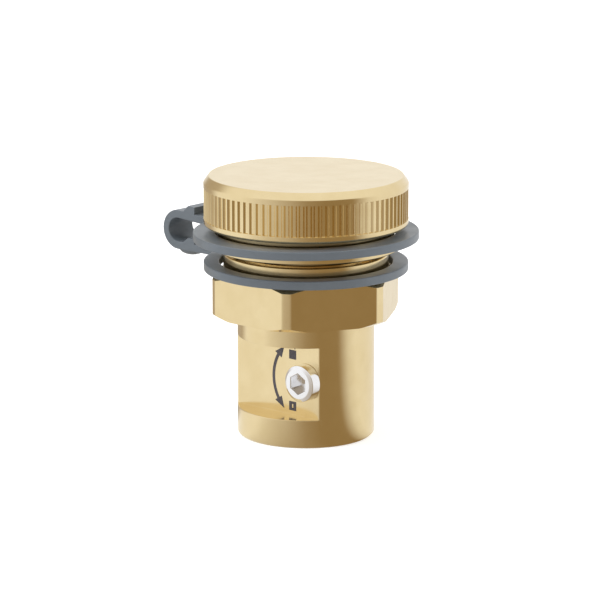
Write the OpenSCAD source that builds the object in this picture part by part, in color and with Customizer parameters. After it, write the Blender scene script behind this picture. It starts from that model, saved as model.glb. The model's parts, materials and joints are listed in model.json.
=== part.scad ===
// Plug-in pipe adapter in brass: a sleeve that locks on a spigot with a quarter-turn cross pin,
// a spanner hexagon, and a threaded outlet under a knurled cap that hangs on a plastic tether.
// Millimetres. Z runs up the body axis from the bottom face, and the milled flat faces -Y.

/* [Sleeve and socket] */
// Outside diameter of the round sleeve
sleeve_d = 36.7; // [35:0.1:40]
// Height of the sleeve, from the bottom face to the hexagon
sleeve_h = 32.9; // [31:0.1:45]
// Bevel round the bottom edge of the sleeve
sleeve_bevel = 0.6; // [0.2:0.1:1.5]
// Bore of the socket that takes the spigot
socket_d = 18.1; // [16:0.1:19]
// Depth of the socket, from the bottom face to its shoulder
socket_depth = 40; // [39:0.5:46]
// Lead-in bevel at the mouth of the socket
mouth_bevel = 0.5; // [0.2:0.1:1]
// Bore of the waterway above the shoulder
passage_d = 15; // [8:0.5:15.5]

/* [Socket seals] */
// Width of each seal ring along the axis
seal_w = 2.4; // [1.8:0.1:2.8]
// Radial thickness of a seal ring, pressed flush with the bore
seal_t = 2.0; // [1.5:0.1:2.6]
// Height of the middle of the lower seal ring above the bottom face
seal_z = 30.5; // [29.5:0.1:32]
// Distance between the two seal rings, middle to middle
seal_step = 5; // [4:0.1:6]

/* [Hexagon] */
// Width of the hexagon across its flats
hex_af = 46; // [46:0.5:50]
// Height of the hexagon
hex_h = 11.7; // [11:0.1:18]
// Diameter of the bar that cuts the corners short
hex_corner_d = 51.7; // [51.5:0.1:53]
// Diameter of the round face left by the bevel on the hexagon's ends
hex_face_d = 47.8; // [46.5:0.1:49]
// Slope of that bevel from the end face
hex_bevel_angle = 30; // [15:1:35]

/* [Collar and outlet thread] */
// Diameter of the plain collar above the hexagon
collar_d = 44.1; // [43:0.1:45]
// Height of the collar
collar_h = 5; // [4:0.1:8]
// Major diameter of the outlet thread
thread_d = 41.91; // [40:0.01:42]
// Pitch of the outlet thread
thread_pitch = 2.309; // [1.5:0.001:2.5]
// Height of the outlet from the collar to its end face
outlet_h = 14.3; // [13:0.1:18]
// Width of the thread run-out groove next to the collar
runout_w = 2; // [1.6:0.1:3]
// Depth of the run-out groove below the thread root
runout_t = 0.6; // [0.3:0.1:1.2]

/* [Milled flat] */
// Height of the flat's lower shoulder above the bottom face
flat_z = 7.7; // [6:0.1:10]
// Height of the flat between its shoulders
flat_h = 19.5; // [14:0.1:20]
// Distance of the flat from the body axis
flat_y = 11.25; // [11:0.05:14]

/* [Cross pin] */
// Distance of the pin axis to the side of the body axis
pin_x = 10; // [9.6:0.1:11]
// Diameter of the pin shank that crosses the socket
pin_d = 7; // [6:0.1:7.2]
// Diameter of the pin head that seats on the flat
pin_head_d = 9.8; // [8:0.1:11]
// Height of the pin head
pin_head_h = 3.4; // [3:0.1:5]
// Bevel round the head
pin_head_bevel = 0.75; // [0.2:0.05:1]
// Width of the hexagon key across its flats
key_af = 5; // [4:0.5:5.5]
// Depth of the key socket
key_depth = 2.9; // [2:0.1:2.9]
// Length of the pin tail behind the body axis
pin_tail = 9.2; // [8.8:0.1:9.6]
// Quarter turn between the open and the locked position
pin_turn = 90; // [60:1:110]
// Section of the small ring that holds the pin by friction
pin_ring_t = 1.1; // [0.8:0.05:1.3]

/* [Stop screw] */
// Diameter of the headless screw that keeps the pin in
screw_d = 3; // [2.5:0.1:3.5]
// Diameter of its dog point
dog_d = 1.7; // [1.2:0.1:1.8]
// Depth of the pin groove that the dog point runs in
stop_groove_t = 1.1; // [0.8:0.1:1.4]
// Recess of the screw above the bottom face
screw_recess = 2.5; // [1:0.1:4]
// Length of the screw without its dog point
screw_l = 9; // [5:0.5:9.5]

/* [Cap] */
// Diameter of the knurled cap
cap_d = 54.6; // [54:0.1:58]
// Gap between the collar and the cap
cap_gap = 1.5; // [0.8:0.1:3]
// Thickness of the cap's top
cap_top_t = 4; // [3:0.1:6]
// Diameter of the flange below the tether groove
flange_d = 50.5; // [49.6:0.1:52]
// Thickness of that flange
flange_t = 1.5; // [1:0.1:2.5]
// Diameter of the bottom of the tether groove
groove_d = 47; // [46.4:0.1:47.6]
// Width of the tether groove
groove_w = 4.4; // [4.2:0.1:5]
// Plain rim between the groove and the knurl
rim_h = 2.3; // [1.6:0.1:3]
// Rounding of the rim's lower edge
rim_r = 0.9; // [0.4:0.1:1.2]
// Plain shoulder between the knurl and the top bevel
shoulder_h = 0.9; // [0.5:0.1:2]
// Height of the top bevel
top_bevel_h = 1.9; // [1:0.1:3]
// Width of the top bevel
top_bevel_w = 1.4; // [0.5:0.1:3]
// Number of flutes in the knurl
flutes = 88; // [60:1:100]
// Depth of a flute
flute_t = 0.55; // [0.3:0.05:0.8]
// Thickness of the gasket in the cap
gasket_t = 2.5; // [1.5:0.1:3]
// Hole of the gasket
gasket_hole_d = 24; // [18:0.5:30]

/* [Tether] */
// Outside diameter of the ring in the cap groove
cap_ring_d = 60.2; // [57:0.1:64]
// Outside diameter of the ring round the collar
neck_ring_d = 54.6; // [51:0.1:60]
// Thickness of both rings
ring_t = 2.3; // [1.8:0.1:2.6]
// Tilt of the cap ring, which the strap pulls down
cap_ring_tilt = 0.7; // [0:0.1:0.9]
// Thickness of the strap
strap_t = 2.2; // [1.6:0.05:2.3]
// Width of the strap
strap_w = 9.6; // [6:0.1:14]
// Distance from the body axis to the outer end of the strap's bend
strap_reach = 48; // [44:0.5:60]
// Length of the grip bars on both arms
bar_l = 4.4; // [3:0.1:5]
// Height of the bar on the upper arm
upper_bar_h = 1.9; // [0.8:0.1:2.2]
// Height of the bar on the lower arm
lower_bar_h = 1.4; // [0.6:0.1:1.6]
// Diameter of the round button under the lower arm
button_d = 7.6; // [4:0.1:8.4]
// Height of the button
button_h = 2; // [0.6:0.1:2.4]

/* [Hidden] */
$fn = 96;
eps = 0.01;
// How far a cut runs past the surface that it opens
cut = 1;

// Clearances, each on the radius or on one side
pin_fit = 0.05;
screw_fit = 0.02;
seal_fit = 0.02;
relief_fit = 0.15;
dog_fit = 0.1;
rest_gap = 0.15;
cap_ring_fit = 0.8;
neck_ring_fit = 1.1;
gasket_fit = 0.5;
thread_fit = 0.05;
pin_end_fit = 0.4;

// Levels up the body
hex_z = sleeve_h;
collar_z = hex_z + hex_h;
outlet_z = collar_z + collar_h;
outlet_top_z = outlet_z + outlet_h;
thread_root_d = thread_d - 2 * 0.6403 * thread_pitch;
outlet_bevel = 1;

// Levels up the cap
cap_z = outlet_z + cap_gap;
flange_top_z = cap_z + flange_t;
rim_z = flange_top_z + groove_w;
knurl_z = rim_z + rim_h;
cap_ceiling_z = outlet_top_z + gasket_t;
cap_top_z = cap_ceiling_z + cap_top_t;
knurl_top_z = cap_top_z - top_bevel_h - shoulder_h;
cap_bore_d = thread_d + 2 * thread_fit;
cap_mouth_bevel = 1;
flute_mouth = 0.62;
flute_floor = 0.28;
knurl_inset = 0.08;
knurl_core_d = cap_d - 2 * flute_t - 0.6;

// The pin
pin_z = flat_z + flat_h / 2;
pin_hole_d = pin_d + 2 * pin_fit;
pin_hole_tail = pin_tail + pin_end_fit;
relief_d = socket_d + 2 * relief_fit;
friction_ring_y = flat_y - 1.6;
friction_ring_w = 1.2;
stop_groove_w = dog_d + 2 * dog_fit;
stop_y = pin_tail - 0.8 - stop_groove_w / 2;
dog_angle = asin((dog_d / 2 + dog_fit) / (pin_d / 2 - stop_groove_t));
head_gap = 0.05;

// The stop screw
screw_top_z = screw_recess + screw_l;
dog_top_z = pin_z - pin_d / 2 + stop_groove_t - dog_fit;
screw_key_af = 1.5;
screw_key_depth = 2;
screw_hole_end = 0.5;

// The tether
cap_ring_hole_d = groove_d + 2 * cap_ring_fit;
neck_ring_hole_d = collar_d + 2 * neck_ring_fit;
cap_ring_z = flange_top_z + rest_gap + flange_d / 2 * sin(cap_ring_tilt);
neck_ring_z = collar_z + rest_gap + 0.15;
upper_arm_z = cap_ring_z + ring_t - cap_ring_d / 2 * sin(cap_ring_tilt);
arm_rise = 0.8;
bend_top_z = upper_arm_z + arm_rise;
bend_r = (bend_top_z - neck_ring_z) / 2;
bend_x = bend_r - strap_reach;
bend_z = neck_ring_z + bend_r;
arm_slope = atan(arm_rise / (strap_reach - bend_r - cap_ring_d / 2));
arm_root = 1.5;
bar_offset = 1.9;
bar_ramp = 1.8;
button_x = bend_x + 1.3;
ring_edge_r = 0.35;

// A ring of rectangular section with its edges eased
module eased_ring(outer_d, inner_d, height, ease) {
    rotate_extrude()
        translate([inner_d / 2, 0])
            polygon([
                [ease, 0],
                [(outer_d - inner_d) / 2 - ease, 0],
                [(outer_d - inner_d) / 2, ease],
                [(outer_d - inner_d) / 2, height - ease],
                [(outer_d - inner_d) / 2 - ease, height],
                [ease, height],
                [0, height - ease],
                [0, ease]
            ]);
}

// Turns a shape's Z axis to the pin axis, which points out of the flat
module on_pin_axis() {
    translate([pin_x, 0, pin_z])
        rotate([90, 0, 0])
            children();
}

// Hexagonal prism with short corners and the bevels that facing leaves on both ends
module hexagon() {
    bevel_h = (hex_corner_d - hex_face_d) / 2 * tan(hex_bevel_angle);
    intersection() {
        cylinder(d = hex_af / cos(30), h = hex_h, $fn = 6);
        rotate_extrude()
            polygon([
                [0, 0],
                [hex_face_d / 2, 0],
                [hex_corner_d / 2, bevel_h],
                [hex_corner_d / 2, hex_h - bevel_h],
                [hex_face_d / 2, hex_h],
                [0, hex_h]
            ]);
    }
}

// Sleeve, collar and outlet as one turned outline, with the thread left at its root diameter
module turned_body() {
    runout_d = thread_root_d - 2 * runout_t;
    rotate_extrude()
        polygon([
            [0, 0],
            [sleeve_d / 2 - sleeve_bevel, 0],
            [sleeve_d / 2, sleeve_bevel],
            [sleeve_d / 2, hex_z + eps],
            [collar_d / 2, hex_z + eps],
            [collar_d / 2, outlet_z - 0.3],
            [collar_d / 2 - 0.3, outlet_z],
            [runout_d / 2, outlet_z],
            [runout_d / 2, outlet_z + runout_w],
            [thread_root_d / 2, outlet_z + runout_w + runout_t],
            [thread_root_d / 2, outlet_top_z - outlet_bevel],
            [thread_root_d / 2 - outlet_bevel, outlet_top_z],
            [0, outlet_top_z]
        ]);
}

// Socket, seal grooves and waterway
module body_bores() {
    translate([0, 0, -cut])
        cylinder(d = socket_d, h = socket_depth + cut);
    translate([0, 0, -eps])
        cylinder(d1 = socket_d + 2 * mouth_bevel, d2 = socket_d, h = mouth_bevel);
    translate([0, 0, socket_depth - cut])
        cylinder(d = passage_d, h = outlet_top_z - socket_depth + 2 * cut);
    translate([0, 0, outlet_top_z - outlet_bevel])
        cylinder(d1 = passage_d, d2 = passage_d + 2 * outlet_bevel + 2 * eps, h = outlet_bevel + eps);
    for (z = [seal_z, seal_z + seal_step])
        translate([0, 0, z - seal_w / 2 - seal_fit])
            cylinder(d = socket_d + 2 * (seal_t + seal_fit), h = seal_w + 2 * seal_fit);
}

// Flat between two shoulders, cut across the sleeve
module milled_flat() {
    translate([-sleeve_d, -flat_y - sleeve_d, flat_z])
        cube([2 * sleeve_d, sleeve_d, flat_h]);
}

// Blind cross bore of the pin, and the tapped hole of its stop screw
module pin_bores() {
    on_pin_axis()
        translate([0, 0, -pin_hole_tail])
            cylinder(d = pin_hole_d, h = pin_hole_tail + sleeve_d);
    translate([pin_x, stop_y, -cut])
        cylinder(d = screw_d + 2 * screw_fit, h = screw_top_z + screw_hole_end + cut);
    translate([pin_x, stop_y, 0])
        cylinder(d = dog_d + 2 * dog_fit, h = pin_z);
}

module adapter_body() {
    color([0.80, 0.69, 0.45])
        difference() {
            union() {
                turned_body();
                translate([0, 0, hex_z])
                    hexagon();
            }
            body_bores();
            milled_flat();
            pin_bores();
        }
}

// One seal ring, drawn as the spigot presses it: flush with the bore
module seal_ring(z) {
    color([0.10, 0.10, 0.11])
        translate([0, 0, z - seal_w / 2])
            eased_ring(socket_d + 2 * seal_t, socket_d + 2 * seal_fit, seal_w, seal_w / 5);
}

module lower_seal_ring() {
    seal_ring(seal_z);
}

module upper_seal_ring() {
    seal_ring(seal_z + seal_step);
}

// Groove sector in the pin tail that lets it make its quarter turn past the dog point
module stop_groove() {
    span = pin_turn + 2 * dog_angle;
    translate([0, 0, -stop_y - stop_groove_w / 2])
        rotate([0, 0, -90 - pin_turn - dog_angle])
            rotate_extrude(angle = span)
                translate([pin_d / 2 - stop_groove_t, 0])
                    square([stop_groove_t + cut, stop_groove_w]);
}

module lock_pin() {
    key_r = key_af / cos(30) / 2;
    color([0.86, 0.87, 0.88])
        difference() {
            on_pin_axis()
                difference() {
                    union() {
                        translate([0, 0, -pin_tail])
                            cylinder(d = pin_d, h = pin_tail + flat_y + cut);
                        translate([0, 0, flat_y + head_gap])
                            rotate_extrude()
                                polygon([
                                    [0, 0],
                                    [pin_head_d / 2, 0],
                                    [pin_head_d / 2, pin_head_h - pin_head_bevel],
                                    [pin_head_d / 2 - pin_head_bevel, pin_head_h],
                                    [0, pin_head_h]
                                ]);
                    }
                    translate([0, 0, flat_y + head_gap + pin_head_h - key_depth])
                        rotate([0, 0, 30])
                            cylinder(r = key_r, h = key_depth + cut, $fn = 6);
                    translate([0, 0, friction_ring_y - friction_ring_w / 2])
                        difference() {
                            cylinder(d = pin_d + 2 * cut, h = friction_ring_w);
                            translate([0, 0, -cut])
                                cylinder(d = pin_d - 2 * pin_ring_t, h = friction_ring_w + 2 * cut);
                        }
                    stop_groove();
                }
            cylinder(d = relief_d, h = sleeve_h);
        }
}

// Friction ring in the pin groove, drawn as the bore presses it
module pin_friction_ring() {
    color([0.10, 0.10, 0.11])
        on_pin_axis()
            translate([0, 0, friction_ring_y - friction_ring_w / 2 + seal_fit])
                eased_ring(pin_d + pin_fit, pin_d - 2 * pin_ring_t + 2 * seal_fit,
                           friction_ring_w - 2 * seal_fit, friction_ring_w / 5);
}

module stop_screw() {
    key_r = screw_key_af / cos(30) / 2;
    color([0.45, 0.46, 0.48])
        translate([pin_x, stop_y, 0])
            difference() {
                union() {
                    translate([0, 0, screw_recess])
                        cylinder(d = screw_d, h = screw_l);
                    translate([0, 0, screw_recess])
                        cylinder(d = dog_d, h = dog_top_z - screw_recess);
                }
                translate([0, 0, screw_recess - cut])
                    cylinder(r = key_r, h = screw_key_depth + cut, $fn = 6);
            }
}

// Outline of the knurl: a circle with a flat-bottomed flute at every step
function knurl_outline(r, depth, count) = [
    for (i = [0 : count - 1])
        for (corner = [
            [r, -(1 - flute_mouth) / 2],
            [r, (1 - flute_mouth) / 2],
            [r - depth, 0.5 - flute_floor / 2],
            [r - depth, 0.5 + flute_floor / 2]
        ])
            let (a = 360 / count * (i + corner[1]))
                [corner[0] * cos(a), corner[0] * sin(a)]
];

// Turned outline of the cap, without its knurl and bore
module cap_outline() {
    r = cap_d / 2;
    rim_arc = [for (a = [-90 : 15 : 0]) [r - rim_r + rim_r * cos(a), rim_z + rim_r + rim_r * sin(a)]];
    polygon(concat(
        [
            [0, cap_z],
            [flange_d / 2 - 0.3, cap_z],
            [flange_d / 2, cap_z + 0.3],
            [flange_d / 2, flange_top_z],
            [groove_d / 2, flange_top_z],
            [groove_d / 2, rim_z]
        ],
        rim_arc,
        [
            [r, knurl_z],
            [knurl_core_d / 2, knurl_z],
            [knurl_core_d / 2, knurl_top_z],
            [r, knurl_top_z],
            [r, cap_top_z - top_bevel_h],
            [r - top_bevel_w, cap_top_z],
            [0, cap_top_z]
        ]
    ));
}

module cap() {
    color([0.80, 0.69, 0.45])
        difference() {
            union() {
                rotate_extrude()
                    cap_outline();
                translate([0, 0, knurl_z])
                    linear_extrude(knurl_top_z - knurl_z)
                        polygon(knurl_outline(cap_d / 2 - knurl_inset, flute_t, flutes));
            }
            translate([0, 0, cap_z - cut])
                cylinder(d = cap_bore_d, h = cap_ceiling_z - cap_z + cut);
            translate([0, 0, cap_z - eps])
                cylinder(d1 = cap_bore_d + 2 * cap_mouth_bevel, d2 = cap_bore_d, h = cap_mouth_bevel);
        }
}

module cap_gasket() {
    color([0.12, 0.12, 0.12])
        translate([0, 0, outlet_top_z])
            difference() {
                cylinder(d = cap_bore_d - 2 * gasket_fit, h = gasket_t);
                translate([0, 0, -cut])
                    cylinder(d = gasket_hole_d, h = gasket_t + 2 * cut);
            }
}

// Grip bar on an arm, ramped on its outer side and steep towards the ring
module grip_bar(height) {
    polygon([
        [0, -strap_t / 2],
        [0, 0],
        [bar_ramp, height],
        [bar_l, height],
        [bar_l, -strap_t / 2]
    ]);
}

// Side view of the strap, x along it and y up: two arms with their bars and a round bend
module strap_profile() {
    upper_l = -bend_x - cap_ring_hole_d / 2 - arm_root;
    lower_l = -bend_x - neck_ring_hole_d / 2 - arm_root;
    difference() {
        translate([bend_x, bend_z])
            circle(r = bend_r);
        translate([bend_x, bend_z])
            circle(r = bend_r - strap_t);
        translate([bend_x, bend_z - bend_r - cut])
            square(2 * (bend_r + cut));
    }
    translate([bend_x - eps, bend_top_z])
        rotate(-arm_slope) {
            translate([0, -strap_t])
                square([upper_l, strap_t]);
            translate([bar_offset, 0])
                grip_bar(upper_bar_h);
        }
    translate([bend_x - eps, neck_ring_z]) {
        square([lower_l, strap_t]);
        translate([bar_offset, strap_t])
            grip_bar(lower_bar_h);
    }
}

// Low dome under the lower arm
module button() {
    steps = [0 : 10 : 90];
    rotate_extrude()
        polygon(concat(
            [[0, strap_t / 2], [button_d / 2, strap_t / 2]],
            [for (a = steps) [button_d / 2 * cos(a), -button_h * sin(a)]]
        ));
}

// Both rings, the strap folded between them and the button, moulded in one piece
module tether() {
    color([0.38, 0.43, 0.48]) {
        translate([0, 0, cap_ring_z])
            rotate([0, -cap_ring_tilt, 0])
                eased_ring(cap_ring_d, cap_ring_hole_d, ring_t, ring_edge_r);
        translate([0, 0, neck_ring_z])
            eased_ring(neck_ring_d, neck_ring_hole_d, ring_t, ring_edge_r);
        rotate([90, 0, 0])
            translate([0, 0, -strap_w / 2])
                linear_extrude(strap_w)
                    strap_profile();
        translate([button_x, 0, neck_ring_z])
            button();
    }
}

adapter_body();
lower_seal_ring();
upper_seal_ring();
lock_pin();
pin_friction_ring();
stop_screw();
cap();
cap_gasket();
tether();
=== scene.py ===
# %% [markdown]
# # A brass pipe adapter with a captive cap
#
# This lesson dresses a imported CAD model. The adapter is a turned brass body with a milled flat and a
# locking pin, a knurled brass cap, and a plastic tether. The CAD part fixes every size and every joint.
# Blender adds what light needs: eased edges, tool marks, threads and printed marks.

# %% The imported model
import json
import math

import bmesh
import bpy
import numpy as np
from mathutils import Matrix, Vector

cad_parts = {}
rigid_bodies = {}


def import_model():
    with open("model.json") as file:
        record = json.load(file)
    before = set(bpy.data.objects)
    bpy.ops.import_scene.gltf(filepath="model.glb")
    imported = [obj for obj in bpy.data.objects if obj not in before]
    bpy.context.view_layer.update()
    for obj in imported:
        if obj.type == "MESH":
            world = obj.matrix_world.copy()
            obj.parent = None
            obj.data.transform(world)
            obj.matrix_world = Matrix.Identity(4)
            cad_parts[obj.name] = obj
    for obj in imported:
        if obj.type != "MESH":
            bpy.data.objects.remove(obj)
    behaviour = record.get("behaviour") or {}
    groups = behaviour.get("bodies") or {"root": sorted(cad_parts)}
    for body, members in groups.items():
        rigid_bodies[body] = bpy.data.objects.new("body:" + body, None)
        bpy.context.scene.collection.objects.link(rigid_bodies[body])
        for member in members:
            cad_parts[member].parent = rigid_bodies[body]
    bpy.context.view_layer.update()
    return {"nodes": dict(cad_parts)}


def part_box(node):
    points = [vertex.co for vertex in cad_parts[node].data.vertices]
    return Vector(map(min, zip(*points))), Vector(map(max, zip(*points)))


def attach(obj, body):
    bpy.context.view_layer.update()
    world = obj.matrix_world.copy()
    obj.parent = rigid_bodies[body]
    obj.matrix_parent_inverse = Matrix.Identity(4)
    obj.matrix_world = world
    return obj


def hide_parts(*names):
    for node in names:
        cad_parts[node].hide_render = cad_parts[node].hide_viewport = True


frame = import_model()
MM = 0.001

# %% [markdown]
# ## Sizes from the CAD part
#
# Every surface below has to sit on the CAD solid, so its sizes are read from the solid where that is easy:
# the corners of a node's box, or the distance of its points from the body axis. The few heights between
# those are named here, in millimetres.

# %% Measuring the CAD nodes
def node_points(node):
    """Corner points of a CAD node in millimetres, one row for each."""
    mesh = frame["nodes"][node].data
    flat = np.empty(len(mesh.vertices) * 3, np.float32)
    mesh.vertices.foreach_get("co", flat)
    return flat.reshape(-1, 3).astype(float) / MM


def radii_between(node, low, high):
    """Smallest and largest distance from the body axis among a node's points between two heights."""
    points = node_points(node)
    inside = points[(points[:, 2] >= low) & (points[:, 2] <= high)]
    distance = np.hypot(inside[:, 0], inside[:, 1])
    return distance.min(), distance.max()


def node_box(node):
    """Lowest and highest corner of a CAD node in millimetres."""
    low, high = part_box(node)
    return np.array(low) / MM, np.array(high) / MM


body_low, body_high = node_box("adapter_body")
cap_low, cap_high = node_box("cap")
tether_low, tether_high = node_box("tether")
pin_low, pin_high = node_box("lock_pin")

sleeve_r = radii_between("adapter_body", 0.5, 5)[1]
hex_flat = body_high[1]
hex_corner_r = radii_between("adapter_body", 34, 43)[1]
outlet_top = body_high[2]
pin_x = (pin_low[0] + pin_high[0]) / 2
pin_z = (pin_low[2] + pin_high[2]) / 2
cap_r = radii_between("cap", 57, 58.5)[1]
cap_bottom, cap_top = cap_low[2], cap_high[2]
print("sleeve", sleeve_r, "hexagon", hex_flat, hex_corner_r, "pin", pin_x, pin_z, "cap", cap_r, cap_bottom, cap_top)

# %% Heights and depths between those
sleeve_top = 32.9
flat_low, flat_high = 7.7, 27.2
flat_y = 11.25
hex_top = 44.6
hex_face_r = 23.9
collar_top = 49.6
socket_r, socket_depth, passage_r = 9.05, 40.0, 7.5
seal_heights = (30.5, 35.5)
seal_half, seal_depth = 1.22, 2.02
thread_major_r, thread_pitch = 20.955, 2.309
thread_root_r = thread_major_r - 0.6403 * thread_pitch
runout_w, runout_depth = 2.0, 0.6

# %% [markdown]
# ## Grids of points
#
# A turned or milled outline is a closed row of corners. Carried round the axis it becomes a grid: one
# direction is the angle, the other runs along the outline. Real edges are never sharp, and the thin bright
# line that light draws on an edge is half of what makes metal look like metal, so every corner is eased.

# %% Easing the corners of an outline
def eased(corners, radius, steps=4, closed=True):
    """Replaces each corner of an outline by a small arc, on the last two axes (corner, coordinate).

    The arc is the quadratic curve (1-t)^2 A + 2t(1-t) C + t^2 B. C is the corner, and A and B lie on its two
    edges at the radius, or at 0.4 of the shorter edge where that is less. One radius serves all corners, or
    each corner has its own. A further point beside each end of
    the arc keeps the flat faces flat when normals are smoothed.
    """
    back = np.roll(corners, 1, axis=-2) - corners
    ahead = np.roll(corners, -1, axis=-2) - corners
    if not closed:
        back[..., 0, :] = 0
        ahead[..., -1, :] = 0
    back_length = np.linalg.norm(back, axis=-1, keepdims=True)
    ahead_length = np.linalg.norm(ahead, axis=-1, keepdims=True)
    radius = np.broadcast_to(radius, corners.shape[-2])[:, None]
    reach = np.minimum(radius, 0.4 * np.minimum(back_length, ahead_length))
    back_unit = back / np.maximum(back_length, 1e-9)
    ahead_unit = ahead / np.maximum(ahead_length, 1e-9)
    start = corners + back_unit * reach
    end = corners + ahead_unit * reach
    t = np.linspace(0, 1, steps)[:, None]
    arc = (
        start[..., None, :] * (1 - t) ** 2
        + corners[..., None, :] * 2 * t * (1 - t)
        + end[..., None, :] * t**2
    )
    before = (start + back_unit * reach * 0.2)[..., None, :]
    after = (end + ahead_unit * reach * 0.2)[..., None, :]
    rows = np.concatenate([before, arc, after], axis=-2)
    return rows.reshape(*corners.shape[:-2], -1, corners.shape[-1])


def grid_mesh(name, points, wrap_rows=True, wrap_columns=False, smooth_angle=40):
    """A mesh from a grid of points in millimetres, (rows, columns, 3), with a quad between neighbours.

    Rows or columns wrap round where the surface closes on itself. Points that fall together are merged, so
    poles and seams close, and the faces are turned outwards.
    """
    rows, columns = points.shape[:2]
    index = np.arange(rows * columns).reshape(rows, columns)
    if wrap_rows:
        index = np.concatenate([index, index[:1]], axis=0)
    if wrap_columns:
        index = np.concatenate([index, index[:, :1]], axis=1)
    quads = np.stack([index[:-1, :-1], index[1:, :-1], index[1:, 1:], index[:-1, 1:]], axis=-1)
    mesh = bpy.data.meshes.new(name)
    mesh.from_pydata((points.reshape(-1, 3) * MM).tolist(), [], quads.reshape(-1, 4).tolist())
    build = bmesh.new()
    build.from_mesh(mesh)
    bmesh.ops.remove_doubles(build, verts=build.verts, dist=0.002 * MM)
    bmesh.ops.dissolve_degenerate(build, edges=build.edges, dist=0.001 * MM)
    loose = [v for v in build.verts if not v.link_faces]
    bmesh.ops.delete(build, geom=loose, context="VERTS")
    bmesh.ops.recalc_face_normals(build, faces=build.faces)
    build.to_mesh(mesh)
    build.free()
    mesh.shade_smooth()
    mesh.set_sharp_from_angle(angle=math.radians(smooth_angle))
    piece = bpy.data.objects.new(name, mesh)
    bpy.context.scene.collection.objects.link(piece)
    print(name, len(mesh.polygons), "faces")
    return piece


def round_the_axis(outline, angles):
    """Points of outlines (angle, point, [radius, height]) carried round the Z axis."""
    cosine = np.cos(angles)[:, None]
    sine = np.sin(angles)[:, None]
    return np.stack([outline[..., 0] * cosine, outline[..., 0] * sine, outline[..., 1] + 0 * cosine], axis=-1)


def corner_list(*pairs):
    """Corners (radius, height) as one array, where either number may be a whole row over the angles."""
    wide = max(np.size(v) for pair in pairs for v in pair)
    columns = [np.stack([np.broadcast_to(v, wide) for v in pair], axis=-1) for pair in pairs]
    return np.stack(columns, axis=1)


# %% [markdown]
# ## The brass body
#
# The body was turned from hexagon bar and then milled. Its distance from the axis is a function of angle
# and of place along the outline: the hexagon is the lower of a six-sided distance and the bar's corner
# radius, and the milled flat is the lower of the sleeve's radius and a straight line. Angles crowd where
# those two meet, because the edge there runs up the part.

# %% Angles round the body
def soft_lower(first, second, blend):
    """The lower of two values, rounded over where they cross: (a + b - sqrt((a - b)^2 + blend^2)) / 2."""
    return (first + second - np.sqrt((first - second) ** 2 + blend**2)) / 2


def crowded_angles(step, edges, spread=2.4, fine=9):
    """Even angles in degrees with more of them beside each edge, as radians."""
    even = np.arange(0, 360, step)
    near = [edge + np.linspace(-spread, spread, fine) for edge in edges]
    return np.radians(np.unique(np.round(np.concatenate([even, *near]) % 360, 4)))


front = -90.0
flat_half_angle = math.degrees(math.acos(flat_y / sleeve_r))
corner_half_angle = math.degrees(math.acos(hex_flat / hex_corner_r))
hex_edges = [front + 60 * side + sign * corner_half_angle for side in range(6) for sign in (-1, 1)]
flat_edges = [front - flat_half_angle, front + flat_half_angle]
angles = crowded_angles(1.5, hex_edges + flat_edges)

# %% The body's outline at every angle
degrees_round = np.degrees(angles)
from_front = (degrees_round - front + 180) % 360 - 180
from_side = (degrees_round - front + 30) % 60 - 30
hex_r = soft_lower(hex_flat / np.cos(np.radians(from_side)), hex_corner_r, 0.10)
straight = flat_y / np.maximum(np.cos(np.radians(from_front)), 1e-3)
milled_r = np.where(np.abs(from_front) < flat_half_angle + 3, soft_lower(straight, sleeve_r, 0.10), sleeve_r)
broken_edge = 0.12
bevel_w = -soft_lower(-(hex_r - hex_face_r), -broken_edge, 0.08)
bevel_h = bevel_w * math.tan(math.radians(30))
face_r = hex_r - bevel_w
seal_corners = []
for seal_z in reversed(seal_heights):
    seal_corners += [
        (socket_r, seal_z + seal_half),
        (socket_r + seal_depth, seal_z + seal_half),
        (socket_r + seal_depth, seal_z - seal_half),
        (socket_r, seal_z - seal_half),
    ]
runout_r = thread_root_r - runout_depth
body_corners = corner_list(
    (socket_r + 0.5, 0),
    (sleeve_r - 0.6, 0),
    (sleeve_r, 0.6),
    (sleeve_r, flat_low),
    (milled_r, flat_low),
    (milled_r, flat_high),
    (sleeve_r, flat_high),
    (sleeve_r, sleeve_top),
    (face_r, sleeve_top),
    (hex_r, sleeve_top + bevel_h),
    (hex_r, hex_top - bevel_h),
    (face_r, hex_top),
    (22.05, hex_top),
    (22.05, collar_top - 0.3),
    (21.75, collar_top),
    (runout_r, collar_top),
    (runout_r, collar_top + runout_w),
    (thread_root_r, collar_top + runout_w + runout_depth),
    (thread_root_r, outlet_top - 1),
    (thread_root_r - 1, outlet_top),
    (passage_r + 1, outlet_top),
    (passage_r, outlet_top - 1),
    (passage_r, socket_depth),
    (socket_r, socket_depth),
    *seal_corners,
    (socket_r, 0.5),
)
body_ease = np.full(body_corners.shape[1], 0.2)
body_ease[4:6] = 0.04
body_ease[7:12] = 0.08
body_points = round_the_axis(eased(body_corners, body_ease), angles)
brass_body = grid_mesh("brass_body", body_points, wrap_columns=True)
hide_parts("adapter_body")
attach(brass_body, "adapter")

# %% [markdown]
# The cross bore and the stop screw's hole aren't turned, so they are cut with a Boolean. Its result is
# baked into the mesh at once.

# %% Drilling the body
def round_cutter(radius, length, foot, direction, sides=64):
    """A closed cylinder along a direction, from its foot, in millimetres."""
    turn = np.linspace(0, 2 * math.pi, sides, endpoint=False)
    direction = np.array(direction, float)
    across = np.cross(direction, [0, 0, 1.0]) if abs(direction[2]) < 0.9 else np.array([1.0, 0, 0])
    up = np.cross(direction, across)
    ring = radius * (np.cos(turn)[:, None] * across + np.sin(turn)[:, None] * up)
    stations = [(0, 0), (1, 0), (1, length), (0, length)]
    points = np.stack([np.array(foot) + ring * wide + direction * far for wide, far in stations], axis=1)
    return grid_mesh("cutter", points)


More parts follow.
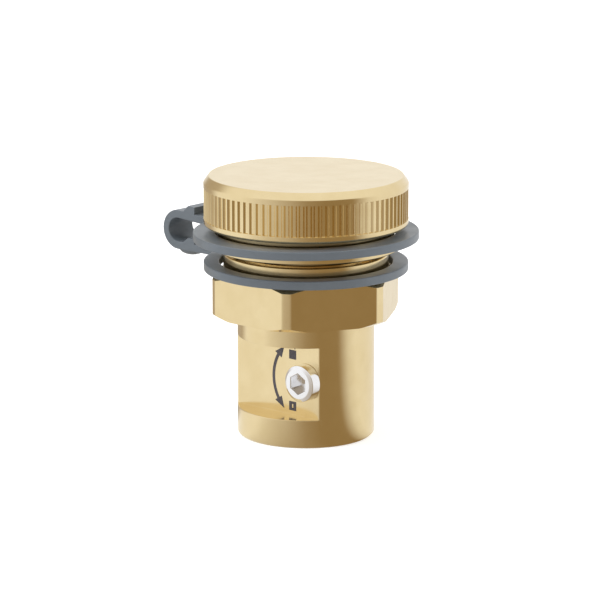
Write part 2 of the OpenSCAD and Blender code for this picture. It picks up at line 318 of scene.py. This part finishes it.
def drill(piece, *cutters):
    """Cuts closed cylinders out of a piece and keeps the result as its mesh."""
    for cutter in cutters:
        modifier = piece.modifiers.new("drill", "BOOLEAN")
        modifier.operation = "DIFFERENCE"
        modifier.solver = "EXACT"
        modifier.object = cutter
    drilled = bpy.data.meshes.new_from_object(piece.evaluated_get(bpy.context.evaluated_depsgraph_get()))
    piece.modifiers.clear()
    piece.data = drilled
    drilled.shade_smooth()
    drilled.set_sharp_from_angle(angle=math.radians(40))
    for cutter in cutters:
        bpy.data.objects.remove(cutter)
    print(piece.name, "drilled,", len(drilled.polygons), "faces")


pin_tail = pin_high[1]
screw_low, screw_high = node_box("stop_screw")
screw_x, screw_y = (screw_low[0] + screw_high[0]) / 2, (screw_low[1] + screw_high[1]) / 2
cross_bore = round_cutter(3.55, 30, (pin_x, pin_tail + 0.4, pin_z), (0, -1, 0))
screw_hole = round_cutter(1.52, 13, (screw_x, screw_y, -1), (0, 0, 1))
drill(brass_body, cross_bore, screw_hole)

# %% [markdown]
# ## The outlet thread
#
# A pipe thread is one ridge with a rounded triangle as its section, wound round the root cylinder. The same
# function makes the nut's thread inside the cap: there the ridge points to the axis and lies half a pitch
# further on, so the two mesh. Turning the cap lifts it by the pitch, so they stay in mesh.

# %% Winding a ridge
def wound_ridge(name, root_r, crest_r, start_z, end_z, phase):
    """A thread ridge: its section (radius, height) is carried along a helix of the thread's pitch.

    Height grows by one pitch a turn. The ridge rises from its root over the first quarter turn and falls
    back over the last, by scaling the crest's distance from the root.
    """
    turns = (end_z - start_z) / thread_pitch
    t = np.linspace(0, 1, int(turns * 72))
    angle = 2 * math.pi * turns * t + phase
    rise = np.clip(np.minimum(t, 1 - t) * turns / 0.25, 0.02, 1)
    sink = 0.25 if crest_r > root_r else -0.25
    half = thread_pitch / 2 * 0.9
    section_r = np.array([root_r - sink, root_r, crest_r - sink * 0.4, crest_r, crest_r - sink * 0.4, root_r, root_r - sink])
    section_z = np.array([-half, -half * 0.86, -half * 0.24, 0, half * 0.24, half * 0.86, half])
    radius = root_r + (section_r - root_r) * rise[:, None]
    height = start_z + (end_z - start_z) * t[:, None] + section_z
    points = np.stack([radius * np.cos(angle)[:, None], radius * np.sin(angle)[:, None], height], axis=-1)
    centre = points.mean(axis=1, keepdims=True)
    first = np.repeat(centre[:1], points.shape[1], axis=1)
    last = np.repeat(centre[-1:], points.shape[1], axis=1)
    return grid_mesh(name, np.concatenate([first, points, last]), wrap_rows=False, wrap_columns=True, smooth_angle=60)


thread_low = collar_top + runout_w + 1.2
outlet_thread = wound_ridge("outlet_thread", thread_root_r, thread_major_r - 0.05, thread_low, outlet_top - 1.4, 0.0)
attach(outlet_thread, "adapter")

# %% [markdown]
# ## The knurled cap
#
# The cap is turned too, and then straight flutes are rolled into its rim. Flutes make the radius a wave of
# the angle: a flat crest, two steep sides and a narrow floor. They stop dead at both ends, which leaves the
# small dark triangles under the shoulder.

# %% The cap's outline at every angle
flutes = 88
samples_per_flute = 10
flange_top, rim_low, knurl_low, knurl_high = 52.6, 57.0, 58.9, 67.1
flange_r, groove_r = 25.25, 23.5
ceiling = outlet_top + 2.5
cap_bore_r = thread_major_r + 0.05
flute_depth = 0.55
cap_angles = np.linspace(0, 2 * math.pi, flutes * samples_per_flute, endpoint=False)
place = np.abs((cap_angles / (2 * math.pi) * flutes) % 1 - 0.5) * 2
wave = np.clip((0.80 - place) / 0.34, 0, 1)
knurl_r = cap_r - 0.08 - flute_depth * wave
rim_arc = np.radians([-90, -60, -30, 0])
rim_round = 0.9
rim_corners = [
    (cap_r - rim_round + rim_round * math.cos(a), rim_low + rim_round + rim_round * math.sin(a)) for a in rim_arc
]
cap_corners = corner_list(
    (0, ceiling),
    (cap_bore_r, ceiling),
    (cap_bore_r, cap_bottom + 1),
    (cap_bore_r + 1, cap_bottom),
    (flange_r - 0.3, cap_bottom),
    (flange_r, cap_bottom + 0.3),
    (flange_r, flange_top),
    (groove_r, flange_top),
    (groove_r, rim_low),
    *rim_corners,
    (cap_r, knurl_low),
    (knurl_r, knurl_low + 0.02),
    (knurl_r, knurl_high),
    (cap_r, knurl_high + 0.02),
    (cap_r, cap_top - 1.9),
    (cap_r - 1.4, cap_top),
    (0, cap_top),
)
cap_points = round_the_axis(eased(cap_corners, 0.2, steps=3, closed=False), cap_angles)
knurled_cap = grid_mesh("knurled_cap", cap_points)
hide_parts("cap")
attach(knurled_cap, "screw_cap")

cap_thread = wound_ridge("cap_thread", cap_bore_r, thread_root_r + 0.08, thread_low - thread_pitch / 2, 62.2, 0.0)
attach(cap_thread, "screw_cap")

# %% [markdown]
# ## The plastic tether
#
# Two flat rings and the strap between them are one moulding in the CAD part. Here each ring is an outline
# carried round its axis, and the strap is a rectangle carried along a path: out on the upper arm, round the
# bend and back on the lower arm. The grip bars are thicker stretches of that rectangle's outer side.

# %% The two rings
def plastic_ring(name, outer_r, inner_r, low, high, tilt=0.0):
    """A ring of eased rectangular section about the Z axis, tilted about Y at its own lower middle."""
    ring_angles = np.linspace(0, 2 * math.pi, 240, endpoint=False)
    corners = np.array([[inner_r, 0], [outer_r, 0], [outer_r, high - low], [inner_r, high - low]])
    outline = np.broadcast_to(eased(corners, 0.35, steps=5), (240, 24 + 4, 2))
    points = round_the_axis(outline, ring_angles)
    c, s = math.cos(tilt), math.sin(tilt)
    turn = np.array([[c, 0, s], [0, 1, 0], [-s, 0, c]])
    points = points @ turn.T + np.array([0, 0, low])
    return grid_mesh(name, points, wrap_columns=True)


tilt = math.radians(-0.7)
neck_ring_low, neck_ring_high = 44.9, 47.2
cap_ring_low = 52.75 + 25.25 * math.sin(-tilt)
cap_ring_r = (tether_high[0] + 0.02) / math.cos(tilt)
cap_ring = plastic_ring("cap_ring", 30.1, 24.3, cap_ring_low, cap_ring_low + 2.3, tilt)
neck_ring = plastic_ring("neck_ring", 27.3, 23.15, neck_ring_low, neck_ring_high)

# %% The strap
strap_w, strap_t = 9.6, 2.2
strap_reach = -tether_low[0]
upper_arm_z = cap_ring_low + 2.3 - 30.1 * math.sin(-tilt)
bend_top = upper_arm_z + 0.8
bend_r = (bend_top - neck_ring_low) / 2
bend_x, bend_z = bend_r - strap_reach, neck_ring_low + bend_r
bar_start, bar_ramp, bar_length = 1.9, 1.8, 4.4


def bar_height(distance, height):
    """Height of a grip bar at a distance from the bend: a ramp, a flat top and a steep end."""
    ramp = np.clip((distance - bar_start) / bar_ramp, 0, 1)
    end = np.clip((bar_start + bar_length - distance) / 0.12, 0, 1)
    return height * np.minimum(ramp, end)


def arm_stations(length):
    """Distances along an arm, crowded where a bar starts, flattens and ends."""
    bar_end = bar_start + bar_length
    marks = [bar_start, bar_start + bar_ramp, bar_end - 0.12, bar_end]
    near = [mark + np.array([-0.25, -0.1, -0.02, 0.02, 0.1, 0.25]) for mark in marks]
    return np.unique(np.concatenate([np.linspace(0, length, 16), *near]).clip(0, length))


def strap_surface():
    """Sections of the strap along its path: middle line, direction outwards, and how far the outer face lies.

    The middle line is two straight arms joined by a half circle of radius (bend_r - strap_t / 2).
    """
    slope = math.atan2(0.8, strap_reach - bend_r - 30.1)
    upper = arm_stations(-bend_x - 24.3 - 1.5)[::-1]
    lower = arm_stations(-bend_x - 23.15 - 1.5)
    sweep = np.linspace(0, math.pi, 33)[1:-1]
    middle_r = bend_r - strap_t / 2
    upper_line = np.stack([bend_x + upper * math.cos(slope), bend_z + middle_r - upper * math.sin(slope)], axis=-1)
    bend_line = np.stack([bend_x - middle_r * np.sin(sweep), bend_z + middle_r * np.cos(sweep)], axis=-1)
    lower_line = np.stack([bend_x + lower, np.full_like(lower, bend_z - middle_r)], axis=-1)
    upper_out = np.tile([math.sin(slope), math.cos(slope)], (len(upper), 1))
    bend_out = np.stack([-np.sin(sweep), np.cos(sweep)], axis=-1)
    lower_out = np.tile([0.0, -1.0], (len(lower), 1))
    line = np.concatenate([upper_line, bend_line, lower_line])
    out = np.concatenate([upper_out, bend_out, lower_out])
    outer = np.concatenate([bar_height(upper, 1.9), 0 * sweep, 0 * lower]) + strap_t / 2
    inner = np.concatenate([0 * upper, 0 * sweep, bar_height(lower, 1.4)]) + strap_t / 2
    half = strap_w / 2
    corners = np.stack(
        [
            np.stack([np.full_like(outer, -half), outer], axis=-1),
            np.stack([np.full_like(outer, half), outer], axis=-1),
            np.stack([np.full_like(outer, half), -inner], axis=-1),
            np.stack([np.full_like(outer, -half), -inner], axis=-1),
        ],
        axis=1,
    )
    section = eased(corners, 0.3, steps=4)
    x = line[:, None, 0] + out[:, None, 0] * section[..., 1]
    z = line[:, None, 1] + out[:, None, 1] * section[..., 1]
    return np.stack([x, section[..., 0], z], axis=-1)


def end_caps(points):
    """Closes a swept grid at both ends with a point in the middle of the first and last section."""
    first = np.repeat(points[:1].mean(axis=1, keepdims=True), points.shape[1], axis=1)
    last = np.repeat(points[-1:].mean(axis=1, keepdims=True), points.shape[1], axis=1)
    return np.concatenate([first, points, last])


strap = grid_mesh("strap", end_caps(strap_surface()), wrap_rows=False, wrap_columns=True, smooth_angle=35)

# %% The button under the lower arm
button_angles = np.linspace(0, 2 * math.pi, 64, endpoint=False)
dip = np.radians(np.linspace(0, 90, 12))
button_outline = np.stack([3.8 * np.cos(dip), neck_ring_low - 2.0 * np.sin(dip)], axis=-1)
button_outline = np.concatenate([[[0, neck_ring_low + 1.1], [3.8, neck_ring_low + 1.1]], button_outline])
button_points = round_the_axis(np.broadcast_to(button_outline, (64, *button_outline.shape)), button_angles)
strap_button = grid_mesh("strap_button", button_points + np.array([bend_x + 1.3, 0, 0]), smooth_angle=50)
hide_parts("tether")
for plastic in (cap_ring, neck_ring, strap, strap_button):
    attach(plastic, "tether_ring")

# %% [markdown]
# ## The marks on the flat
#
# Beside the pin a double arrow and two small squares show which way it turns. They are thin dark prints, so
# they are flat surfaces that stand two hundredths of a millimetre off the brass.

# %% Printed marks
print_y = -flat_y - 0.02


def flat_print(name, across, up, wrap=False):
    """A print on the milled flat from grids of places across (X) and up (Z), measured from the pin's axis."""
    points = np.stack([pin_x + across, np.full_like(across, print_y), pin_z + up], axis=-1)
    mark = grid_mesh(name, points, wrap_rows=wrap)
    if mark.data.polygons[0].normal.y > 0:
        mark.data.flip_normals()
    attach(mark, "adapter")
    return mark


def double_arrow(radius, half_sweep, stroke, head_w, head_l):
    """An arc about the pin's axis with a head at both ends: half the width is a function of the way along."""
    head = head_l / radius
    t = np.concatenate([[0], [head, head], np.linspace(head, 2 * half_sweep - head, 25), [2 * half_sweep - head] * 2, [2 * half_sweep]])
    width = np.full_like(t, stroke / 2)
    width[[0, -1]] = 0.02
    width[[1, -2]] = head_w / 2
    turn = math.pi - half_sweep + t
    reach = radius + width[:, None] * np.array([-1, 1])
    return flat_print("turn_arrow", reach * np.cos(turn)[:, None], reach * np.sin(turn)[:, None])


turn_arrow = double_arrow(radius=11.5, half_sweep=math.radians(47.5), stroke=0.95, head_w=2.7, head_l=3.3)

square = np.array([[-1, -1], [1, -1], [1, 1], [-1, 1]]) * 1.25
mark_x, mark_z = -4.8, 7.0


def framed_print(name, outer, inner, x, z):
    """A ring between two outlines with as many corners: the outer one and the opening or point inside it."""
    both = np.stack([outer, inner], axis=1)
    return flat_print(name, both[..., 0] + x, both[..., 1] + z, wrap=True)


diamond = np.array([[-0.28, -0.85], [0.28, -0.85], [0.28, 0.85], [-0.28, 0.85]])
framed_print("locked_mark", square, square * 0.001, mark_x, mark_z - 0.35)
for side in (-1, 1):
    framed_print(f"locked_mark_post_{side + 2}", square * [0.16, 0.3], square * 0.001, mark_x + 0.75 * side, mark_z + 1.55)
framed_print("open_mark", square, diamond * [0.8, 0.6], mark_x, -mark_z - 0.4)

# %% [markdown]
# ## The locking pin
#
# The pin is turned and plated, with a hexagon broached into its head. It is made the same way as the body,
# about an axis of its own that points out of the flat, and its key socket is the only part that isn't round.

# %% The pin's outline at every angle
head_front = -pin_low[1]
head_back = flat_y + 0.05
shank_r, head_r = 3.5, 4.9
key_depth = 4.2
friction_y = flat_y - 1.6
groove_low, groove_high = pin_tail - 0.8 - 1.9, pin_tail - 0.8
pin_angles = crowded_angles(3, [30 + 60 * k for k in range(6)], spread=4, fine=7)
from_key_side = (np.degrees(pin_angles) + 30) % 60 - 30
key_r = 2.5 / np.cos(np.radians(from_key_side))
pin_corners = corner_list(
    (0, head_front - key_depth),
    (key_r, head_front - key_depth),
    (key_r, head_front - 0.12),
    (key_r + 0.12, head_front),
    (head_r - 0.9, head_front),
    (head_r, head_front - 0.5),
    (head_r, head_back),
    (shank_r, head_back),
    (shank_r, friction_y + 0.6),
    (shank_r - 1.1, friction_y + 0.6),
    (shank_r - 1.1, friction_y - 0.6),
    (shank_r, friction_y - 0.6),
    (shank_r, -pin_tail),
    (0, -pin_tail),
)
pin_round = round_the_axis(eased(pin_corners, 0.12, steps=4, closed=False), pin_angles)
pin_points = np.stack([pin_x + pin_round[..., 0], -pin_round[..., 2], pin_z + pin_round[..., 1]], axis=-1)
plated_pin = grid_mesh("plated_pin", pin_points)
drill(plated_pin, round_cutter(socket_r + 0.15, 60, (0, 0, -10), (0, 0, 1), sides=160))
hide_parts("lock_pin")
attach(plated_pin, "pin")

# %% [markdown]
# ## Finishes
#
# Bare brass, a bright plating, a moulded plastic and rubber have little colour of their own to tell them
# apart. What does it is how the roughness and the fine relief change over the surface. Two node groups make
# those changes and every finish uses them with its own numbers.

# %% Helpers for node trees
def place(tree, kind, inputs=None, **properties):
    """Adds a node to a tree, with its properties and the values of its unlinked inputs."""
    added = tree.nodes.new(kind)
    for key, value in properties.items():
        setattr(added, key, value)
    for key, value in (inputs or {}).items():
        added.inputs[key].default_value = value
    return added


def effect_group(name, inputs, outputs):
    """An empty node group with named number inputs, and its two end nodes."""
    group = bpy.data.node_groups.new(name, "ShaderNodeTree")
    for label, value in inputs.items():
        socket = group.interface.new_socket(name=label, in_out="INPUT", socket_type="NodeSocketFloat")
        socket.default_value = value
    for label in outputs:
        group.interface.new_socket(name=label, in_out="OUTPUT", socket_type="NodeSocketFloat")
    return group, group.nodes.new("NodeGroupInput"), group.nodes.new("NodeGroupOutput")


# %% [markdown]
# A lathe tool leaves fine rings about the axis. On a flat end they follow the distance from the axis, and on
# a round wall they follow the height. Noise that reads only those two numbers makes both at once.

# %% The lathe's rings
lathe, lathe_in, lathe_out = effect_group("lathe_rings", {"Rings per metre": 3000.0}, ["Height", "Streaks"])
where = place(lathe, "ShaderNodeTexCoord")
apart = place(lathe, "ShaderNodeSeparateXYZ")
lathe.links.new(where.outputs["Object"], apart.inputs[0])
flat_part = place(lathe, "ShaderNodeCombineXYZ")
lathe.links.new(apart.outputs["X"], flat_part.inputs["X"])
lathe.links.new(apart.outputs["Y"], flat_part.inputs["Y"])
distance = place(lathe, "ShaderNodeVectorMath", operation="LENGTH")
lathe.links.new(flat_part.outputs[0], distance.inputs[0])
ring_place = place(lathe, "ShaderNodeMath", operation="ADD")
lathe.links.new(distance.outputs["Value"], ring_place.inputs[0])
lathe.links.new(apart.outputs["Z"], ring_place.inputs[1])
ring_count = place(lathe, "ShaderNodeMath", operation="MULTIPLY")
lathe.links.new(ring_place.outputs[0], ring_count.inputs[0])
lathe.links.new(lathe_in.outputs[0], ring_count.inputs[1])
rings = place(lathe, "ShaderNodeTexNoise", {"Scale": 1.0, "Detail": 3.0}, noise_dimensions="1D")
lathe.links.new(ring_count.outputs[0], rings.inputs["W"])
lathe.links.new(rings.outputs["Fac"], lathe_out.inputs["Height"])
broad = place(lathe, "ShaderNodeMath", {1: 0.11}, operation="MULTIPLY")
lathe.links.new(ring_count.outputs[0], broad.inputs[0])
streaks = place(lathe, "ShaderNodeTexNoise", {"Scale": 1.0, "Detail": 2.0}, noise_dimensions="1D")
lathe.links.new(broad.outputs[0], streaks.inputs["W"])
lathe.links.new(streaks.outputs["Fac"], lathe_out.inputs["Streaks"])
print("group", lathe.name)

# %% [markdown]
# Handling leaves soft patches a few millimetres across, and a surface that was tumbled, cast or moulded has
# a much finer grain. The second group puts out one mask for each.

# %% Patches and grain
handled, handled_in, handled_out = effect_group("patches_and_grain", {"Patch": 160.0, "Grain": 3000.0}, ["Patches", "Grain"])
spot = place(handled, "ShaderNodeTexCoord")
patch = place(handled, "ShaderNodeTexNoise", {"Detail": 3.0, "Roughness": 0.55})
handled.links.new(spot.outputs["Object"], patch.inputs["Vector"])
handled.links.new(handled_in.outputs["Patch"], patch.inputs["Scale"])
spread_mask = place(handled, "ShaderNodeMapRange", {"From Min": 0.35, "From Max": 0.65})
handled.links.new(patch.outputs["Fac"], spread_mask.inputs["Value"])
handled.links.new(spread_mask.outputs["Result"], handled_out.inputs["Patches"])
grain = place(handled, "ShaderNodeTexNoise", {"Detail": 2.0})
handled.links.new(spot.outputs["Object"], grain.inputs["Vector"])
handled.links.new(handled_in.outputs["Grain"], grain.inputs["Scale"])
handled.links.new(grain.outputs["Fac"], handled_out.inputs["Grain"])
print("group", handled.name)


# %% One builder for every finish
def finish(name, colour, worn_colour, roughness, metallic, relief, patch=160.0, grain=3000.0, lathe_share=0.0, **sockets):
    """A finish: two colours mixed by the patches, a range of roughness, and relief from grain and rings.

    Roughness runs between its two numbers with the patches or, on turned metal, with the lathe's streaks.
    Relief is the depth of the grain in metres.
    """
    material = bpy.data.materials.new(name)
    material.use_nodes = True
    tree = material.node_tree
    shader = tree.nodes["Principled BSDF"]
    shader.inputs["Metallic"].default_value = metallic
    for label, value in sockets.items():
        shader.inputs[label.replace("_", " ")].default_value = value
    marks = place(tree, "ShaderNodeGroup", node_tree=handled)
    marks.inputs["Patch"].default_value = patch
    marks.inputs["Grain"].default_value = grain
    blend = place(tree, "ShaderNodeMix", data_type="RGBA")
    blend.inputs[6].default_value = (*colour, 1)
    blend.inputs[7].default_value = (*worn_colour, 1)
    tree.links.new(marks.outputs["Patches"], blend.inputs[0])
    tree.links.new(blend.outputs[2], shader.inputs["Base Color"])
    rough = place(tree, "ShaderNodeMapRange", {"To Min": roughness[0], "To Max": roughness[1]})
    bump = place(tree, "ShaderNodeBump", {"Distance": relief, "Strength": 1.0})
    if lathe_share:
        turned = place(tree, "ShaderNodeGroup", node_tree=lathe)
        both = place(tree, "ShaderNodeMix", {0: lathe_share}, data_type="FLOAT")
        tree.links.new(marks.outputs["Grain"], both.inputs[2])
        tree.links.new(turned.outputs["Height"], both.inputs[3])
        tree.links.new(both.outputs[0], bump.inputs["Height"])
        uneven = place(tree, "ShaderNodeMix", {0: 0.5}, data_type="FLOAT")
        tree.links.new(marks.outputs["Patches"], uneven.inputs[2])
        tree.links.new(turned.outputs["Streaks"], uneven.inputs[3])
        tree.links.new(uneven.outputs[0], rough.inputs["Value"])
    else:
        tree.links.new(marks.outputs["Grain"], bump.inputs["Height"])
        tree.links.new(marks.outputs["Patches"], rough.inputs["Value"])
    tree.links.new(rough.outputs["Result"], shader.inputs["Roughness"])
    tree.links.new(bump.outputs["Normal"], shader.inputs["Normal"])
    print("finish", name)
    return material


# %% The finishes
brass = finish("bare_brass", (0.83, 0.68, 0.40), (0.80, 0.645, 0.365), (0.13, 0.20), 1.0, 1.2e-6, lathe_share=0.6)
plating = finish("bright_plating", (0.93, 0.93, 0.94), (0.90, 0.90, 0.91), (0.08, 0.14), 1.0, 6e-7)
steel = finish("screw_steel", (0.52, 0.52, 0.53), (0.40, 0.40, 0.41), (0.25, 0.40), 1.0, 2e-6)
plastic = finish("grey_plastic", (0.135, 0.155, 0.175), (0.12, 0.14, 0.16), (0.30, 0.40), 0.0, 5e-6, patch=90, grain=5000)
seal = finish("seal_rubber", (0.020, 0.020, 0.021), (0.035, 0.035, 0.036), (0.45, 0.62), 0.0, 8e-6)
gasket = finish("gasket_rubber", (0.055, 0.055, 0.06), (0.08, 0.08, 0.085), (0.55, 0.7), 0.0, 1e-5)
ink = finish("dark_print", (0.075, 0.065, 0.075), (0.11, 0.10, 0.11), (0.45, 0.6), 0.0, 2e-6, patch=900)


def wear(thing, material):
    """Gives every material slot of an object the same finish."""
    if not thing.data.materials:
        thing.data.materials.append(material)
    for slot in thing.material_slots:
        slot.material = material


for thing in (brass_body, outlet_thread, knurled_cap, cap_thread):
    wear(thing, brass)
for thing in (cap_ring, neck_ring, strap, strap_button):
    wear(thing, plastic)
for thing in [o for o in bpy.data.objects if o.name.startswith(("turn_arrow", "locked_mark", "open_mark"))]:
    wear(thing, ink)
wear(plated_pin, plating)
for cad_node, material in (
    ("lower_seal_ring", seal),
    ("upper_seal_ring", seal),
    ("pin_friction_ring", seal),
    ("stop_screw", steel),
    ("cap_gasket", gasket),
):
    wear(frame["nodes"][cad_node], material)

# %% [markdown]
# ## The studio
#
# Metal shows its surroundings, so the surroundings are designed first. Seen from the part they are a white
# tent with an open front: bright cloth to the left and right, a dim room in front, and light overhead. The
# tent is a function of direction alone. The world shows it to reflected rays, and so does the floor, by the
# direction of each place on it from the part. The camera sees plain white instead.

# %% The tent as a group
tent = bpy.data.node_groups.new("tent_light", "ShaderNodeTree")
tent.interface.new_socket(name="Direction", in_out="INPUT", socket_type="NodeSocketVector")
tent.interface.new_socket(name="Light", in_out="OUTPUT", socket_type="NodeSocketColor")
tent_in, tent_out = tent.nodes.new("NodeGroupInput"), tent.nodes.new("NodeGroupOutput")
front_of_view = math.radians(-48.6)
parts = place(tent, "ShaderNodeSeparateXYZ")
turned_to_front = place(tent, "ShaderNodeVectorRotate", {"Angle": -front_of_view}, rotation_type="Z_AXIS")
tent.links.new(tent_in.outputs[0], turned_to_front.inputs["Vector"])
tent.links.new(turned_to_front.outputs[0], parts.inputs[0])
bearing = place(tent, "ShaderNodeMath", operation="ARCTAN2")
tent.links.new(parts.outputs["Y"], bearing.inputs[0])
tent.links.new(parts.outputs["X"], bearing.inputs[1])
share = place(tent, "ShaderNodeMapRange", {"From Min": -math.pi, "From Max": math.pi})
tent.links.new(bearing.outputs[0], share.inputs["Value"])
cloth = place(tent, "ShaderNodeValToRGB")
tent.links.new(share.outputs["Result"], cloth.inputs["Fac"])
white_cloth, dim_room = (1.0, 1.0, 1.0), (0.34, 0.25, 0.14)
tent_levels = [
    (-180, 1.00), (-168, 0.95), (-154, 0.25), (-128, 0.30), (-112, 1.0), (-72, 1.0), (-54, 0.75), (-16, 0.30),
    (0, 0.10), (20, 0.0), (52, 0.0), (70, 0.75), (84, 0.95), (120, 0.92), (148, 0.90), (180, 1.00),
]
stops = cloth.color_ramp.elements
while len(stops) < len(tent_levels):
    stops.new(0.5)
for stop, (turn, cloth_share) in zip(stops, tent_levels):
    stop.position = (turn + 180) / 360
    stop.color = (*[d + (w - d) * cloth_share for w, d in zip(white_cloth, dim_room)], 1)
slope = place(tent, "ShaderNodeVectorMath", operation="NORMALIZE")
tent.links.new(tent_in.outputs[0], slope.inputs[0])
lift = place(tent, "ShaderNodeSeparateXYZ")
tent.links.new(slope.outputs[0], lift.inputs[0])
overhead = place(tent, "ShaderNodeMapRange", {"From Min": 0.45, "From Max": 0.8}, interpolation_type="SMOOTHSTEP")
tent.links.new(lift.outputs["Z"], overhead.inputs["Value"])
roof = place(tent, "ShaderNodeMix", {7: (1, 1, 1, 1)}, data_type="RGBA")
tent.links.new(overhead.outputs["Result"], roof.inputs[0])
tent.links.new(cloth.outputs["Color"], roof.inputs[6])
tent.links.new(roof.outputs[2], tent_out.inputs["Light"])
print("tent", len(stops), "stops")

# %% The world
world = bpy.data.worlds.new("studio")
bpy.context.scene.world = world
world.use_nodes = True
sky = world.node_tree
sky.nodes.clear()
looking = place(sky, "ShaderNodeTexCoord")
tent_here = place(sky, "ShaderNodeGroup", node_tree=tent)
sky.links.new(looking.outputs["Generated"], tent_here.inputs["Direction"])
path = place(sky, "ShaderNodeLightPath")
soft = place(sky, "ShaderNodeMix", {6: (0.6, 0.6, 0.6, 1)}, data_type="RGBA")
sky.links.new(path.outputs["Is Glossy Ray"], soft.inputs[0])
sky.links.new(tent_here.outputs["Light"], soft.inputs[7])
white = place(sky, "ShaderNodeMix", {7: (1, 1, 1, 1)}, data_type="RGBA")
seen = place(sky, "ShaderNodeMath", operation="MAXIMUM")
sky.links.new(path.outputs["Is Camera Ray"], seen.inputs[0])
sky.links.new(path.outputs["Is Transmission Ray"], seen.inputs[1])
sky.links.new(seen.outputs[0], white.inputs[0])
sky.links.new(soft.outputs[2], white.inputs[6])
backdrop = place(sky, "ShaderNodeBackground")
sky.links.new(white.outputs[2], backdrop.inputs["Color"])
sky_out = place(sky, "ShaderNodeOutputWorld")
sky.links.new(backdrop.outputs[0], sky_out.inputs["Surface"])

# %% The floor
floor_mesh = bpy.data.meshes.new("floor")
floor_mesh.from_pydata([(-4, -4, 0), (4, -4, 0), (4, 4, 0), (-4, 4, 0)], [], [(0, 1, 2, 3)])
floor = bpy.data.objects.new("floor", floor_mesh)
bpy.context.scene.collection.objects.link(floor)
floor_finish = bpy.data.materials.new("pale_floor")
floor_finish.use_nodes = True
ground = floor_finish.node_tree
ground.nodes.clear()
lit = place(ground, "ShaderNodeBsdfDiffuse", {"Color": (0.86, 0.86, 0.86, 1)})
lift_white = place(ground, "ShaderNodeEmission", {"Color": (1, 1, 1, 1), "Strength": 0.42})
bright = place(ground, "ShaderNodeAddShader")
ground.links.new(lit.outputs[0], bright.inputs[0])
ground.links.new(lift_white.outputs[0], bright.inputs[1])
on_floor = place(ground, "ShaderNodeTexCoord")
tent_floor = place(ground, "ShaderNodeGroup", node_tree=tent)
ground.links.new(on_floor.outputs["Object"], tent_floor.inputs["Direction"])
mirrored = place(ground, "ShaderNodeEmission")
ground.links.new(tent_floor.outputs["Light"], mirrored.inputs["Color"])
floor_path = place(ground, "ShaderNodeLightPath")
camera_or_mirror = place(ground, "ShaderNodeMixShader")
ground.links.new(floor_path.outputs["Is Glossy Ray"], camera_or_mirror.inputs["Fac"])
plain_or_bright = place(ground, "ShaderNodeMixShader")
ground.links.new(floor_path.outputs["Is Camera Ray"], plain_or_bright.inputs["Fac"])
ground.links.new(lit.outputs[0], plain_or_bright.inputs[1])
ground.links.new(bright.outputs[0], plain_or_bright.inputs[2])
ground.links.new(plain_or_bright.outputs[0], camera_or_mirror.inputs[1])
ground.links.new(mirrored.outputs[0], camera_or_mirror.inputs[2])
floor_out = place(ground, "ShaderNodeOutputMaterial")
ground.links.new(camera_or_mirror.outputs[0], floor_out.inputs["Surface"])
floor_mesh.materials.append(floor_finish)


# %% Two soft lamps
def soft_lamp(name, bearing_degrees, height, away, size, watts):
    """A square lamp that looks at the part from a bearing, unseen by reflections."""
    data = bpy.data.lights.new(name, "AREA")
    data.size = size
    data.energy = watts
    lamp = bpy.data.objects.new(name, data)
    turn = math.radians(bearing_degrees)
    lamp.location = (away * math.cos(turn), away * math.sin(turn), height)
    aim = -lamp.location.normalized()
    lamp.rotation_euler = aim.to_track_quat("-Z", "Y").to_euler()
    lamp.visible_glossy = False
    lamp.visible_camera = False
    bpy.context.scene.collection.objects.link(lamp)
    return lamp


soft_lamp("key_lamp", -140, 1.1, 0.9, 0.9, 14)
soft_lamp("fill_lamp", 20, 0.9, 1.1, 1.0, 8)

# %% [markdown]
# ## The camera
#
# The photograph was taken with a long lens from a little above, from the right of the milled flat.

# %% The camera
view_turn, view_tilt = math.radians(41.4), math.radians(12.9)
away, lens = 0.908, 203.8
aim = np.array([-0.0016 * 0.750, -0.0016 * 0.661, 0.0362])
back = np.array([
    math.sin(view_turn) * math.cos(view_tilt),
    -math.cos(view_turn) * math.cos(view_tilt),
    math.sin(view_tilt),
])
camera_data = bpy.data.cameras.new("camera")
camera_data.lens = lens
camera_data.sensor_width = 36
camera = bpy.data.objects.new("camera", camera_data)
camera.location = aim + away * back
camera.rotation_euler = (math.pi / 2 - view_tilt, 0, view_turn)
bpy.context.scene.collection.objects.link(camera)
bpy.context.scene.camera = camera
bpy.context.scene.view_settings.view_transform = "Standard"
